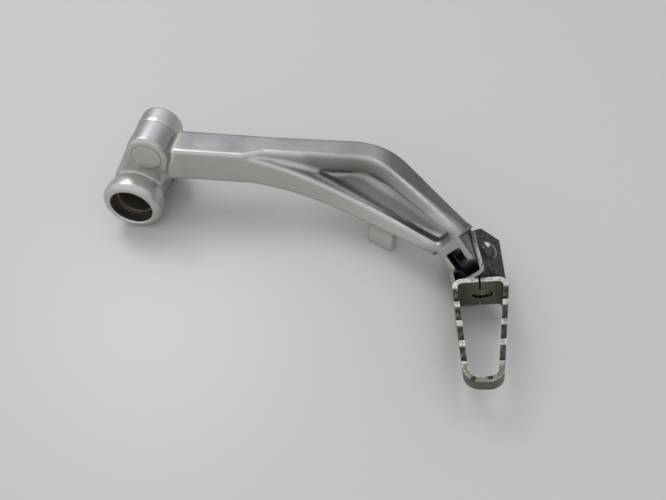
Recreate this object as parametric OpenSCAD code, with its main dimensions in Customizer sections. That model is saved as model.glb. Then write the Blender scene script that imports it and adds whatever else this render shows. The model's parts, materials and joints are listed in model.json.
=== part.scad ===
// Rear brake pedal: a cast arm with a spring-loaded folding toe piece
// Millimetres from the pivot axis. X runs along the arm, Y along the pivot bore, Z up.

/* [Show] */
// Sub-part to draw

/* [Pivot hub] */
// Outer diameter of the hub
hub_d = 34.4; // [33:0.2:42]
// Length of the hub
hub_len = 53; // [50:1:58]
// Length of the thick collar at each mouth
collar_len = 14; // [11:0.5:17]
// Diameter of the hub between the collars
waist_d = 29.2; // [28:0.2:33]
// Wall left round the seal recess at the mouth
mouth_wall = 4.9; // [4.4:0.1:6]
// Depth of the seal recess at each mouth
seal_depth = 8; // [5:0.5:11]
// Inner diameter of the pivot bush
bush_bore_d = 20; // [16:0.5:22]
// Wall of the pivot bush
bush_wall = 1.5; // [1:0.1:2]

/* [Boss] */
// Diameter of the push rod boss
boss_d = 24; // [20:0.5:28]
// Boss axis ahead of the pivot axis
boss_ahead = 12.4; // [8:0.2:18]
// Boss axis above the pivot axis
boss_rise = 27.5; // [24:0.5:34]
// Length of the boss
boss_len = 33.5; // [30:0.5:40]
// Diameter of the raised pad on the boss face
pad_d = 16; // [12:0.5:18]
// Diameter of the push rod pin hole in the far end
rod_hole_d = 8; // [6:0.5:10]
// Depth of the push rod pin hole
rod_hole_depth = 18; // [10:1:22]

/* [Arm] */
// Height of the beam behind the split
beam_h = 21.5; // [18:0.5:25]
// Width of the beam across the arm
beam_w = 20.5; // [17:0.5:24]
// Distance from the pivot axis to the split
split_x = 66; // [56:1:76]
// Distance from the pivot axis to the crest
crest_x = 145; // [138:1:152]
// Height of the upper branch
upper_h = 13; // [11:0.5:15]
// Width of the upper branch
upper_w = 15.5; // [13:0.5:18]
// Width of the lower branch
lower_w = 10.5; // [9:0.5:14]
// Thickness of the web that closes the pocket
web_t = 5; // [3.5:0.5:7]
// Round of the cast edges
edge_r = 2; // [1.2:0.1:2.6]
// Length of the rest lug along the arm
lug_len = 17; // [12:1:24]
// Thickness of the rest lug
lug_t = 8; // [6:0.5:12]

/* [Fork] */
// Pin centre along the arm
pin_x = 199.1; // [190:0.5:208]
// Pin centre out from the hub middle
pin_out = 42; // [36:0.5:48]
// Pin centre above the table
pin_up = 16.9; // [16.5:0.1:22]
// Lean of the pin forward from upright
pin_tilt = 36; // [28:1:44]
// Turn of the fork about the pin
fork_turn = 40; // [34:1:46]
// Width of the slot between the prongs
slot_w = 8.6; // [7:0.2:10]
// Thickness of a prong
prong_t = 3.8; // [3.2:0.1:4.6]
// Distance from the pin to the front of the prongs
fork_front = 13.3; // [11.5:0.1:14]
// Distance from the pin to the root of the slot
slot_back = 10.2; // [9.6:0.1:11]
// Distance from the pin to the shoulder behind the ears
shoulder_back = 15; // [14.5:0.1:16.5]
// Radius of the prong end round the pin
prong_r = 8.6; // [7.5:0.1:9.5]

/* [Toe piece] */
// Thickness of the folded sheet
sheet_t = 2.6; // [2:0.1:3]
// Reach of the ears behind the pin
ear_back = 13.5; // [12.5:0.1:14.5]
// Reach of the ears below the pin
ear_low = 10.8; // [9:0.1:11.5]
// Reach of the ears above the pin
ear_high = 10.5; // [9:0.1:11.5]
// Distance from the pin to the inner face of the yoke
yoke_reach = 14.6; // [14.2:0.1:17]
// Length of the toe loop
toe_len = 57; // [50:1:66]
// Shift of the tip towards the pivot
toe_shift = 3; // [0:0.5:5]
// Width of the toe loop at the root
toe_root_w = 27.6; // [24:0.2:31]
// Width of the toe loop at the tip
toe_tip_w = 18.6; // [15:0.2:22]
// Height of the loop wall at the root
root_h = 21; // [18:0.5:22]
// Height of the loop wall at the tip
tip_h = 8; // [6:0.5:12]
// Lean of the loop to the rear
toe_lean = 13; // [6:1:18]
// Number of scallops cut along each side
scallops = 4; // [3:1:6]
// Depth of a scallop
scallop_depth = 2.2; // [1:0.1:3]

/* [Rivet and spring] */
// Diameter of the rivet shank
rivet_d = 8; // [6:0.2:9]
// Diameter of the domed rivet head
head_d = 11; // [9:0.5:13]
// Height of the domed rivet head
head_h = 3; // [2:0.1:4]
// Outer diameter of the sleeve inside the spring
sleeve_d = 13; // [11:0.2:13.6]
// Wire of the torsion spring
wire_d = 1.2; // [0.9:0.05:1.4]
// Mean diameter of the spring coil
coil_d = 15.6; // [15.2:0.2:17.4]
// Turns of the spring coil
coil_turns = 5; // [3:1:5]

/* [Hidden] */
$fn = 48;
// Reach of a cutter past the face it cuts
over = 1;
// Running clearance on the rivet, per side
run_gap = 0.05;
// Clearance of a tight riveted or pressed hole, per side
tight_gap = 0.02;
// Gap between two sheet faces that are welded together
weld_gap = 0.05;
// Gap between an ear and its prong
side_gap = 0.2;

// Hub, bush and boss
hub_r = hub_d / 2;
hub_front = -20;
hub_back = hub_front + hub_len;
seal_r = hub_r - mouth_wall;
bush_r = bush_bore_d / 2 + bush_wall;
waist_r = waist_d / 2;
mouth_round = 4.2;
boss_r = boss_d / 2;
boss_front = -5.5;
boss_round = 3;
boss_at = [boss_ahead, 0, boss_rise];
neck_front = -5;
neck_back = 21;
pad_raise = 0.6;
ring_y = 13;
flare_r = 24;
flare_x = 15;
flare_steps = 8;
ring_step = 0.4;

// Arm paths, one point per station
steps = 30;
beam_front = 0.5;
beam_top = 27.5;
beam_rise = 0.9;
beam_mid = [split_x, beam_front + beam_w / 2, beam_top - beam_h / 2];
upper_in = beam_front + beam_w - upper_w / 2 - 0.5;
crest_turn = 16;
split_run = 0.067;
web_in = 0.8;
lug_along = 0.79;

// Pin frame: local Z is the pin, local X is down and forward, local Y is in
pin_at = [pin_x, -pin_out, pin_up - hub_r];
prong_face = slot_w / 2 + prong_t;
ear_in = prong_face + side_gap;
ear_out = ear_in + sheet_t;
block_back = 19;
block_in = 3;
fork_far = 2.6;
branch_end = 15.6;
tip_round = 4;
heel_reach = yoke_reach - 0.4;
heel_low = 7;

function lerp(a, b, t) = a + (b - a) * t;
function clip(t) = max(0, min(1, t));
function ease(t) = t * t * (3 - 2 * t);
function unit(v) = v / norm(v);
function rot_y(v, a) = [v[0] * cos(a) + v[2] * sin(a), v[1], v[2] * cos(a) - v[0] * sin(a)];
function rot_z(v, a) = [v[0] * cos(a) - v[1] * sin(a), v[0] * sin(a) + v[1] * cos(a), v[2]];
// A point given in the fork frame, moved to the part frame
function fork_pt(v) = pin_at + rot_y(rot_z(v, -fork_turn), pin_tilt);
function curve2(p, t) = pow(1 - t, 2) * p[0] + 2 * (1 - t) * t * p[1] + t * t * p[2];
function curve3(p, t) = pow(1 - t, 3) * p[0] + 3 * pow(1 - t, 2) * t * p[1]
    + 3 * (1 - t) * t * t * p[2] + t * t * t * p[3];

// Upper branch: straight to the crest, round it, straight to the fork
upper_end = fork_pt([-branch_end, (fork_far - fork_front) / 2, (slot_w / 2 + ear_out) / 2]);
upper_start = [split_x, upper_in, beam_top - upper_h / 2];
crest = [crest_x, upper_in, beam_top - upper_h / 2 + 0.5];
crest_in = crest - crest_turn * unit(crest - upper_start);
crest_out = crest + crest_turn * unit(upper_end - crest);
function upper_path(t) = t < 0.35 ? lerp(upper_start, crest_in, t / 0.35)
    : t < 0.65 ? curve2([crest_in, crest, crest_out], (t - 0.35) / 0.3)
    : lerp(crest_out, upper_end, (t - 0.65) / 0.35);
function upper_lean(t) = pin_tilt * ease(clip((t - 0.3) / 0.7));

// Lower branch: the middle of its front face
lower_end = fork_pt([-branch_end, -fork_front, -(slot_w / 2 + ear_out) / 2]);
lower_knots = [[split_x - 4, beam_front + 0.4, 16.5], [98, beam_front, 11.5], [125, -6, 2.5], lower_end];
function lower_path(t) = curve3(lower_knots, t);
function lower_lean(t) = pin_tilt * ease(t);

// Place and local axes of a station: [point, inward, upward]
function station(at, dir, lean) =
    let (inward = unit(cross([sin(lean), 0, cos(lean)], dir)))
    [at, inward, cross(dir, inward)];
function upper_dir(t) = unit(upper_path(min(1, t + 0.02)) - upper_path(max(0, t - 0.02)));
function lower_dir(t) = unit(lower_path(min(1, t + 0.02)) - lower_path(max(0, t - 0.02)));
function upper_station(t) =
    let (f = clip(t / split_run), s = station(upper_path(t), upper_dir(t), upper_lean(t)))
    [s[0] + (1 - f) * (beam_mid - upper_start), s[1], s[2]];
function lower_station(t) =
    let (s = station(lower_path(t), lower_dir(t), lower_lean(t)))
    [s[0] + s[1] * lower_w / 2, s[1], s[2]];
function place(s, pts) = [for (q = pts) s[0] + q[0] * s[1] + q[1] * s[2]];
function round_box(w, h, r) = [for (c = [0:3]) for (k = [0:3])
    let (a = 90 * c + 30 * k, sx = (c == 0 || c == 3) ? 1 : -1, sy = c < 2 ? 1 : -1)
    [sx * (w / 2 - r) + r * cos(a), sy * (h / 2 - r) + r * sin(a)]];

fork_h = ear_out - slot_w / 2;
fork_w = fork_front + fork_far;
beam_rings = [for (x = [8, 30])
    place([[x, beam_mid[1], beam_mid[2] + beam_rise * (1 - x / split_x)], [0, 1, 0], [0, 0, 1]],
        round_box(beam_w, beam_h, edge_r))];
upper_rings = [for (i = [0:steps]) let (t = i / steps, f = clip(t / split_run), g = ease(clip((t - 0.4) / 0.6)))
    place(upper_station(t), round_box(lerp(beam_w, lerp(upper_w, fork_w, g), f),
        lerp(beam_h, lerp(upper_h, fork_h, g), f), edge_r))];
lower_rings = [for (i = [0:steps]) let (t = i / steps)
    place(lower_station(t), round_box(lower_w, lerp(beam_h - 1.5, fork_h + 1, t), edge_r))];
web_rings = [for (i = [2:steps]) let (t = i / steps, u = upper_station(t), v = lower_station(t),
    a = upper_w / 2 - web_in, b = lower_w / 2 - web_in)
    [u[0] + a * u[1], u[0] + (a - web_t) * u[1], v[0] + (b - web_t) * v[1], v[0] + b * v[1]]];

// Skin over rings of points that all have the same count
module skin(rings) {
    n = len(rings[0]);
    m = len(rings);
    sides = [for (i = [0:m - 2]) for (j = [0:n - 1]) let (a = i * n + j, b = i * n + (j + 1) % n)
        each [[a, b + n, b], [a, a + n, b + n]]];
    caps = [[for (j = [0:n - 1]) j], [for (j = [n - 1:-1:0]) (m - 1) * n + j]];
    polyhedron(points = [for (r = rings) each r], faces = concat(sides, caps));
}
// Rectangle with round corners in 2-D
module soft_rect(x0, y0, x1, y1, r) {
    translate([x0 + r, y0]) square([x1 - x0 - 2 * r, y1 - y0]);
    translate([x0, y0 + r]) square([x1 - x0, y1 - y0 - 2 * r]);
    for (x = [x0 + r, x1 - r]) for (y = [y0 + r, y1 - r]) translate([x, y]) circle(r);
}
// Round bar along Y with rounded ends, as a turned profile
module bar_y(r, y0, y1, e) {
    rotate([-90, 0, 0]) rotate_extrude() intersection() {
        soft_rect(-r, y0, r, y1, e);
        translate([0, y0]) square([r, y1 - y0]);
    }
}
module hole_y(r, y0, y1) {
    translate([0, y0, 0]) rotate([-90, 0, 0]) cylinder(r = r, h = y1 - y0);
}
module pin_frame() {
    translate(pin_at) rotate([0, pin_tilt, 0]) children();
}
module fork_frame() {
    pin_frame() rotate([0, 0, -fork_turn]) children();
}

// Neck outline: the outer tangents of the hub and boss circles, drawn in to the waist on the arm's side
neck_inset = 0.6;
neck_r1 = boss_r - neck_inset;
neck_span = sqrt(pow(boss_ahead, 2) + pow(boss_rise, 2));
neck_dir = atan2(boss_rise, boss_ahead);
function neck_ends(r0, s) = let (turn = neck_dir + s * acos((r0 - neck_r1) / neck_span))
    [for (c = [[0, 0, r0], [boss_ahead, boss_rise, neck_r1]]) [c[0] + c[2] * cos(turn), c[1] + c[2] * sin(turn)]];
module neck() {
    rear = neck_ends(hub_r - neck_inset, 1);
    front = neck_ends(waist_r - neck_inset, -1);
    translate([0, neck_back, 0]) rotate([90, 0, 0]) linear_extrude(neck_back - neck_front)
        polygon([rear[0], rear[1], front[1], front[0]]);
}
// Hollow curve that carries the front of the neck into the front of the beam
module neck_flare() {
    fall = beam_front - neck_front;
    run = sqrt(fall * (2 * flare_r - fall));
    translate([0, 0, beam_top - beam_h + edge_r / 2]) linear_extrude(beam_h - 3 * edge_r / 2)
        polygon(concat([[flare_x - boss_r / 2, beam_front + fall], [flare_x - boss_r / 2, neck_front]],
            [for (i = [0:flare_steps]) let (x = run * i / flare_steps)
                [flare_x + x, beam_front - flare_r + sqrt(pow(flare_r, 2) - pow(run - x, 2))]],
            [[flare_x + run, beam_front + fall]]));
}
module boss() {
    translate(boss_at) {
        bar_y(boss_r, boss_front, boss_front + boss_len, boss_round);
        bar_y(boss_r + ring_step, ring_y, boss_front + boss_len - over, boss_round - over);
        bar_y(pad_d / 2, boss_front - pad_raise, boss_front + over, 0.5);
    }
}
module fork_block() {
    fork_frame() difference() {
        union() {
            translate([0, 0, -ear_out]) linear_extrude(2 * ear_out)
                polygon([[-block_back, block_in - fork_front], [-shoulder_back, -fork_front],
                    [-shoulder_back, fork_far], [-block_back, fork_far - block_in]]);
            translate([0, 0, -prong_face]) linear_extrude(2 * prong_face) {
                polygon([[-shoulder_back - over, -fork_front], [fork_front / 20 - tip_round, -fork_front],
                    [fork_front / 20, tip_round - fork_front], [prong_r * cos(20), -prong_r * sin(20)],
                    [0, prong_r], [-shoulder_back - over, fork_far]]);
                circle(prong_r);
                translate([fork_front / 20 - tip_round, tip_round - fork_front]) circle(tip_round);
                rotate(fork_turn) translate([0, -heel_reach]) square([heel_low, heel_reach]);
            }
        }
        translate([-slot_back, -fork_front - over, -slot_w / 2]) cube([3 * fork_front, 3 * fork_front, slot_w]);
        translate([0, 0, -ear_out]) cylinder(d = rivet_d + 2 * run_gap, h = 2 * ear_out);
    }
}
module rest_lug() {
    at = lower_station(lug_along)[0];
    along = lower_dir(lug_along);
    translate([at[0], at[1], -hub_r]) rotate([0, 0, atan2(along[1], along[0])])
        linear_extrude(hub_r + at[2]) soft_rect(-lug_len / 2, -lug_t / 2, lug_len / 2, lug_t / 2, edge_r);
}
module pedal_arm() {
    color("silver") difference() {
        union() {
            bar_y(hub_r, hub_front, hub_front + collar_len, mouth_round);
            bar_y(waist_r, hub_front + mouth_round, hub_back - mouth_round, 1);
            bar_y(hub_r, hub_back - collar_len, hub_back, mouth_round);
            neck();
            boss();
            skin(concat(beam_rings, upper_rings));
            skin(lower_rings);
            skin(web_rings);
            fork_block();
            neck_flare();
            rest_lug();
        }
        hole_y(bush_r + tight_gap, hub_front - over, hub_back + over);
        hole_y(seal_r, hub_front - over, hub_front + seal_depth);
        hole_y(seal_r, hub_back - seal_depth, hub_back + over);
        translate(boss_at) hole_y(rod_hole_d / 2, boss_front + boss_len - rod_hole_depth, boss_front + boss_len + over);
    }
}
module pivot_bush() {
    color("peru") difference() {
        hole_y(bush_r, hub_front + seal_depth, hub_back - seal_depth);
        hole_y(bush_bore_d / 2, hub_front, hub_back);
    }
}

// Yoke: a bent U in the Y-Z plane, cut to the outline of the ears
module yoke_bend() {
    rotate([90, 0, 90]) translate([0, 0, -2 * ear_low]) linear_extrude(4 * ear_low) difference() {
        soft_rect(-yoke_reach - sheet_t, -ear_out, 2 * ear_back, ear_out, sheet_t + 1);
        soft_rect(-yoke_reach, -ear_in, 3 * ear_back, ear_in, 1);
    }
}
module yoke_outline() {
    front = yoke_reach + sheet_t + over;
    polygon([[-0.4 * ear_high, ear_back], [ear_low, ear_back], [ear_low, -front], [0.4 - 0.6 * ear_high, -front],
        [-0.7 * ear_high, -0.8 * ear_high], [-0.9 * ear_high, 0], [-ear_high, 0.8 * ear_high]]);
}
module hinge_yoke() {
    color("dimgray") pin_frame() difference() {
        intersection() {
            yoke_bend();
            translate([0, 0, -2 * ear_out]) linear_extrude(4 * ear_out) yoke_outline();
        }
        translate([0, 0, -2 * ear_out]) cylinder(r = rivet_d / 2 + tight_gap, h = 4 * ear_out);
    }
}

// Toe loop: a strip bent to a tapered loop, its ends meeting at a seam in the back wall
loop_back = pin_out + yoke_reach + sheet_t + weld_gap;
loop_rise = 7;
corner_root = 5;
corner_tip = 7.5;
corner_steps = 8;
seam_w = 0.6;
plug_w = 11;
plug_h = 6.4;
plug_drop = 11.4;
plug_side = 1.2;
scallop_pitch = 11;
scallop_first = 9.8;
scallop_r = (pow(scallop_pitch / 2 - 1.4, 2) + pow(scallop_depth, 2)) / (2 * scallop_depth);
module loop_frame() {
    translate([pin_x, -loop_back, pin_at[2] + loop_rise]) rotate([0, -toe_lean, 0]) children();
}
// Corner centre of the loop outline: s is the side, 1 or -1
function root_corner(s) = [s * (toe_root_w / 2 - corner_root), -corner_root];
function tip_corner(s) = [s * (toe_tip_w / 2 - corner_tip) - toe_shift, corner_tip - toe_len];
// Direction square to the straight wall of one side, which touches both corner rounds
function side_turn(s) = let (run = tip_corner(s) - root_corner(s))
    atan2(run[1], run[0]) + s * acos((corner_root - corner_tip) / norm(run));
function arc(at, r, a0, a1) = [for (i = [0:corner_steps]) let (a = lerp(a0, a1, i / corner_steps))
    at + r * [cos(a), sin(a)]];
// Tapered outline with round corners; d shrinks it for the inner face
module loop_outline(d) {
    polygon(concat(arc(root_corner(1), corner_root - d, 90, side_turn(1)),
        arc(tip_corner(1), corner_tip - d, side_turn(1), -90),
        arc(tip_corner(-1), corner_tip - d, -90, side_turn(-1)),
        arc(root_corner(-1), corner_root - d, side_turn(-1), -270)));
}
module toe_loop() {
    color("darkkhaki") loop_frame() difference() {
        intersection() {
            translate([0, 0, -root_h]) linear_extrude(root_h) difference() {
                loop_outline(0);
                loop_outline(sheet_t);
            }
            rotate([90, 0, 90]) translate([0, 0, -toe_root_w]) linear_extrude(2 * toe_root_w)
                polygon([[over, 0], [over, -root_h], [-2 * corner_root, -root_h], [-toe_len - over, -tip_h],
                    [-toe_len - over, 0]]);
        }
        translate([-seam_w / 2, -2 * sheet_t, -2 * root_h]) cube([seam_w, 3 * sheet_t, 3 * root_h]);
        translate([plug_side, over, -plug_drop]) rotate([90, 0, 0]) linear_extrude(2 * sheet_t)
            soft_rect(-plug_w / 2, -plug_h / 2, plug_w / 2, plug_h / 2, plug_h / 2 - 0.01);
        for (i = [0:scallops - 1])
            translate([-toe_root_w, -scallop_first - i * scallop_pitch, scallop_r - scallop_depth])
                rotate([0, 90, 0]) cylinder(r = scallop_r, h = 2 * toe_root_w);
    }
}
// Weld metal: the plug in the slot of the back wall
module toe_welds() {
    color("dimgray") loop_frame() translate([plug_side, 0, -plug_drop]) rotate([90, 0, 0])
        translate([0, 0, tight_gap]) linear_extrude(sheet_t / 2)
            soft_rect(0.2 - plug_w / 2, 0.2 - plug_h / 2, plug_w / 2 - 0.2, plug_h / 2 - 0.2, plug_h / 2 - 0.25);
}
module hinge_rivet() {
    tail_h = 1.6;
    dome_r = (pow(head_d / 2, 2) + pow(head_h, 2)) / (2 * head_h);
    color("gray") pin_frame() {
        translate([0, 0, -ear_out - tail_h]) cylinder(d = rivet_d, h = 2 * ear_out + tail_h + over);
        translate([0, 0, -ear_out - tail_h - tight_gap]) cylinder(d = head_d - 1, h = tail_h);
        translate([0, 0, ear_out + tight_gap]) intersection() {
            translate([0, 0, head_h - dome_r]) rotate_extrude() intersection() {
                circle(dome_r);
                translate([0, -dome_r]) square(2 * dome_r);
            }
            cylinder(d = head_d, h = head_h);
        }
    }
}
module hinge_sleeve() {
    half = slot_w / 2 - side_gap;
    color("gray") pin_frame() difference() {
        translate([0, 0, -half]) cylinder(d = sleeve_d, h = 2 * half);
        translate([0, 0, -slot_w]) cylinder(d = rivet_d + 2 * run_gap, h = 2 * slot_w);
    }
}

// Torsion spring: a coil with one leg on the slot root and one on the yoke
coil_r = coil_d / 2;
coil_from = -90 - fork_turn;
coil_sweep = 360 * coil_turns + fork_turn;
coil_half = slot_w / 2 - side_gap - wire_d / 2;
leg_root = slot_back - wire_d;
leg_yoke = yoke_reach - wire_d / 2 - 0.3;
coil_steps = 20 * coil_turns;
wire_sides = 8;
function coil_pt(f) = let (a = coil_from + coil_sweep * f)
    [coil_r * cos(a), coil_r * sin(a), lerp(-coil_half, coil_half, f)];
function coil_dir(f) = let (a = coil_from + coil_sweep * f) [-sin(a), cos(a), 0];
module torsion_spring() {
    start = coil_pt(0);
    stop = coil_pt(1);
    pts = concat([start - leg_root * coil_dir(0)], [for (i = [0:coil_steps]) coil_pt(i / coil_steps)],
        [stop + leg_yoke * coil_dir(1)]);
    dirs = concat([coil_dir(0)], [for (i = [0:coil_steps]) coil_dir(i / coil_steps)], [coil_dir(1)]);
    rings = [for (i = [0:len(pts) - 1]) let (out = cross(dirs[i], [0, 0, 1]))
        [for (k = [0:wire_sides - 1]) let (a = 360 * k / wire_sides)
            pts[i] + wire_d / 2 * (cos(a) * [0, 0, 1] + sin(a) * out)]];
    color([0.1, 0.1, 0.12]) pin_frame() skin(rings);
}

pedal_arm();
pivot_bush();
hinge_yoke();
toe_loop();
toe_welds();
hinge_rivet();
hinge_sleeve();
torsion_spring();
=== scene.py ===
import json
import math

import bmesh
import bpy
import numpy as np
from mathutils import Matrix, Vector


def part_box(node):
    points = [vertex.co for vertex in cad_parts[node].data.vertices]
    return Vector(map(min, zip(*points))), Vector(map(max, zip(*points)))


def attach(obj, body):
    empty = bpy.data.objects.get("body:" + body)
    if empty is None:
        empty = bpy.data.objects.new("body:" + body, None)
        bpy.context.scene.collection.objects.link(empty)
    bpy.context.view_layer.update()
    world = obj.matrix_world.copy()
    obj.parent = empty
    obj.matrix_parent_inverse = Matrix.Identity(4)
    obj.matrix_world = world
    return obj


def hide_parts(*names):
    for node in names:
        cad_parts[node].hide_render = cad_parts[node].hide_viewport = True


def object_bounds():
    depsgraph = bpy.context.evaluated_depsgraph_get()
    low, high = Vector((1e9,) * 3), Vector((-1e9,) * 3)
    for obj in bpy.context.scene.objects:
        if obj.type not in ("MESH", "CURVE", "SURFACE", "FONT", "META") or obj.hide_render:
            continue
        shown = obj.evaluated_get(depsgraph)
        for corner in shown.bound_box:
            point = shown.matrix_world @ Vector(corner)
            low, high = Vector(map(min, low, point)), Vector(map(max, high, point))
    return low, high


bl_info = {
    "name": "Rear brake pedal",
    "version": (1, 0, 0),
    "blender": (4, 5, 0),
    "location": "3D View > Sidebar > Pedal",
    "description": "Dresses the rear brake pedal: cast arm, folding toe piece, spring and stage",
    "category": "Object",
}

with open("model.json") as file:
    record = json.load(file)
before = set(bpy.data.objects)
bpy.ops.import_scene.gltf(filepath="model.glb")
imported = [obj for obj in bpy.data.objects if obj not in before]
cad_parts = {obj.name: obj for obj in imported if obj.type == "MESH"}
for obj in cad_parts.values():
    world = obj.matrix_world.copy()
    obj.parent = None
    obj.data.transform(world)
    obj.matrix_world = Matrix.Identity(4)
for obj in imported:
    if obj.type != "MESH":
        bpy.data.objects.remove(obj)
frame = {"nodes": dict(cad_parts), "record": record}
cad_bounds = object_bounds()

# Hub and push rod boss, in metres

HUB_LOW, HUB_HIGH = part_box("pivot_bush")
HUB_AXIS_Z = (HUB_LOW[2] + HUB_HIGH[2]) / 2
HUB_FRONT = -0.02
BORE_R = 0.0124
COLLAR_R = 0.026
COLLAR_BACK = -0.006
BOSS_AT = (0.0124, 0.0, 0.0275)
BOSS_FRONT = -0.0055
BOSS_R = 0.012
PAD_R = 0.008
RING_Y = 0.013
CROWN_X = 0.003
CROWN_HALF = 0.008

# Beam, branches and the pocket between them, whose outline is seen from above

NECK_END = 0.055
BEAM_START, BEAM_END = 0.026, 0.145
LUG_START, LUG_END = 0.12, 0.178
LUG_TOP = -0.004
POCKET = ((0.1045, 0.0024), (0.184, -0.0339), (0.158, -0.0118), (0.1325, 0.0055))
POCKET_ROOT, POCKET_END, POCKET_BEND = POCKET[:3]
POCKET_START_X = 0.085
POCKET_TOP = 0.019
FLOOR_TOP = 0.0135
WEB_UNDERSIDE = -0.006
CHANNEL_WIDTH = 0.003
CHANNEL_END = 0.176
WALL_START, WALL_END = 0.088, 0.182
WALL_SHADE = 0.4
BRANCH_BEND = 0.140

# Fork, in a frame of its own with the pin along Z and the prongs' tips towards X

FORK_SIDE = 0.15
PIN = Vector(frame["record"]["behaviour"]["joints"][0]["pos_m"])
PIN_R = 0.0052
PIN_TILT = math.radians(36)
FORK_TURN = math.radians(40)
FORK = (Matrix.Translation(PIN)
        @ Matrix.Rotation(PIN_TILT, 4, "Y")
        @ Matrix.Rotation(-FORK_TURN, 4, "Z"))
JOIN_START = -0.025
JOIN_END = -0.0148
FORK_START = -0.024
PRONG_START = -0.0165
PRONG_FACE = 0.0074
SLOT_HALF = 0.0043
SLOT_ROOT = -0.0104

# Toe piece

LOOP_AT = (PIN[0], -0.05925, 0.0067)
LOOP_LEAN = math.radians(13)
LOOP_TIP = -0.050
SEAM_HALF = 0.0007
SEAM_ROOT = -0.0045
DARK_SPOTS = ((-0.0079, -0.0555), (-0.0006, -0.0548), (0.0086, -0.0435))
SPOT_R = 0.0019
RIVET_R = 0.0053
HIGHLIGHT_SPOT_AT = (-0.0032, 0.0019)
HIGHLIGHT_SPOT_SQUEEZE = 0.45
RIVET_COAT_ROUGHNESS = 0.16
WELD_GRID = 0.00016
LUMP_SIZE = 0.0017
LUMP_HEIGHT = 0.0016
LUMP_LEVEL = 0.75
BUSH_EDGE = 0.0003

# Directions of the part

UP = (0.0, 0.0, 1.0)
OUTWARD = (0.0, -1.0, 0.0)
OUTWARD_AND_UP = (0.0, -1.0, 0.05)
LOOP_UP = (-math.sin(LOOP_LEAN), 0.0, math.cos(LOOP_LEAN))
YOKE_CUT = (-math.cos(PIN_TILT), 0.0, math.sin(PIN_TILT))

# Colours that aren't settings. A tint is multiplied with what lies under it

# Painted light on the faces that look away from the machine
FRONT_PAINTED_LIGHT = (0.58, 0.555, 0.515)
# Painted shade in the casting's hollows
CASTING_HOLLOW_SHADE = (0.115, 0.11, 0.098)
POCKET_SHADE = (0.16, 0.155, 0.14)
# Painted light in the channel beside the lower branch
CHANNEL_PAINTED_LIGHT = (0.74, 0.71, 0.66)
# Painted shade on the upper branch's outer slope
SLOPE_PAINTED_SHADE = (0.40, 0.40, 0.395)
# Painted highlight on the fillet round the boss
FILLET_HIGHLIGHT = (0.86, 0.80, 0.74)
PRONG_SHADE = (0.11, 0.105, 0.095)
FORK_TINT = (0.64, 0.63, 0.61)
# Painted shade in the fork's slot
SLOT_SHADE = (0.02, 0.018, 0.016)
# Painted shade on the beam's upper face, multiplied
BEAM_TOP_SHADE = (0.80, 0.815, 0.85)
LUG_LIGHTER = (0.68, 0.665, 0.64)
# Painted highlight on the boss's crown
CROWN_HIGHLIGHT = (0.70, 0.69, 0.71)
DARK_LINES = (0.09, 0.085, 0.08)
# Painted light on the near collar
COLLAR_PAINTED_LIGHT = (0.58, 0.565, 0.54)
# Painted shade in the yoke's hollows
STEEL_HOLLOW_SHADE = (0.025, 0.022, 0.018)
# Painted highlight on the rivet's dome
RIVET_HIGHLIGHT = (0.95, 0.94, 0.92)
# Painted shade at the rivet's rim
RIVET_RIM_SHADE = (0.012, 0.01, 0.009)
WELD_METAL = (0.30, 0.29, 0.26)
DISH_DARK = (0.035, 0.03, 0.024)
TIP_TINT = (0.36, 0.34, 0.31)
SPOT_DIRT = (0.03, 0.024, 0.02)
SEAM_DIRT = (0.018, 0.015, 0.012)
# Painted shade in the loop's hollows
LOOP_HOLLOW_SHADE = (0.03, 0.027, 0.02)
WORN_WIRE = (0.2, 0.2, 0.2)
BUSH_METAL = (0.16, 0.13, 0.105)
BUSH_WORN = (0.6, 0.56, 0.5)
ROOM_COLOUR = (0.93, 0.965, 1.0)

# Stage

TABLE_Z = cad_bounds[0][2]
TABLE_HALF = 3.0
TABLE_ROUGHNESS = 0.32
ROOM_LEAN = (-0.2, -0.25, 1.0)
ROOM_PALE_FROM = 0.62
HORIZON_SHARE = 0.5
WINDOW_AT = (-0.5, 0.6, 1.25)
WINDOW_TARGET = (0.1, 0.0, 0.0)
WINDOW_SIZE = 0.8
IMAGE_WIDTH = 666
SENSOR_WIDTH = 36.0


# Sizes and colours that a user would change

class CastingSettings(bpy.types.PropertyGroup):
    """Sizes and colours of the cast arm."""
    voxel: bpy.props.FloatProperty(
        name="Skin grid", description="Grid on which the casting's skin is rebuilt with soft corners",
        default=0.00069, min=0.0004, max=0.002, precision=5, unit="LENGTH")
    soften: bpy.props.IntProperty(
        name="Corner rounds", description="Passes that round the corners as the mould and the blasting do",
        default=3, min=0, max=20)
    fillet: bpy.props.IntProperty(
        name="Fillets", description="Passes that fill the hollow corners of the casting",
        default=24, min=0, max=60)
    colour: bpy.props.FloatVectorProperty(
        name="Lacquer", description="Silver lacquer over the casting",
        default=(0.445, 0.434, 0.42), subtype="COLOR", size=3, min=0, max=1)
    # Also the colour of the painted highlight along the sharp edges
    rubbed: bpy.props.FloatVectorProperty(
        name="Rubbed edge", description="Brighter metal where the edges are rubbed",
        default=(0.74, 0.73, 0.71), subtype="COLOR", size=3, min=0, max=1)
    bore: bpy.props.FloatVectorProperty(
        name="Greasy bore", description="Old grease inside the hub's mouth",
        default=(0.17, 0.14, 0.115), subtype="COLOR", size=3, min=0, max=1)


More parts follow.
